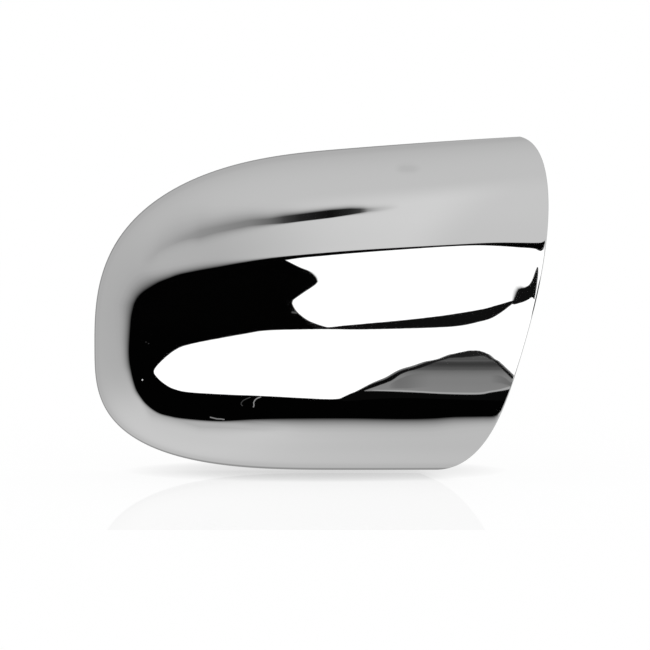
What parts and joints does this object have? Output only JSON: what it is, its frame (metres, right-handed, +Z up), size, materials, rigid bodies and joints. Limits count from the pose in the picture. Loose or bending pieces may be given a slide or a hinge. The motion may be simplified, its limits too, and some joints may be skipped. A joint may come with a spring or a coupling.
{
  "type": "wing mirror cover",
  "caption": "Domed back cover of a door mirror: a thin chrome-plated shell, open at the rim and inboard end, with snap hooks, ribs and locating pins inside.",
  "frame": {"origin": "middle of the rim's bounding rectangle, in the rim plane", "axes": "+X from the outboard tip towards the inboard end, +Y from the show face towards the mirror housing, +Z up"},
  "size_m": [0.2389, 0.0849, 0.1782],
  "materials": {
    "chrome_plating": "bright chrome plating on moulded ABS"
  },
  "bodies": {
    "root": {"mirror_cover": "chrome_plating"}
  },
  "joints": []
}
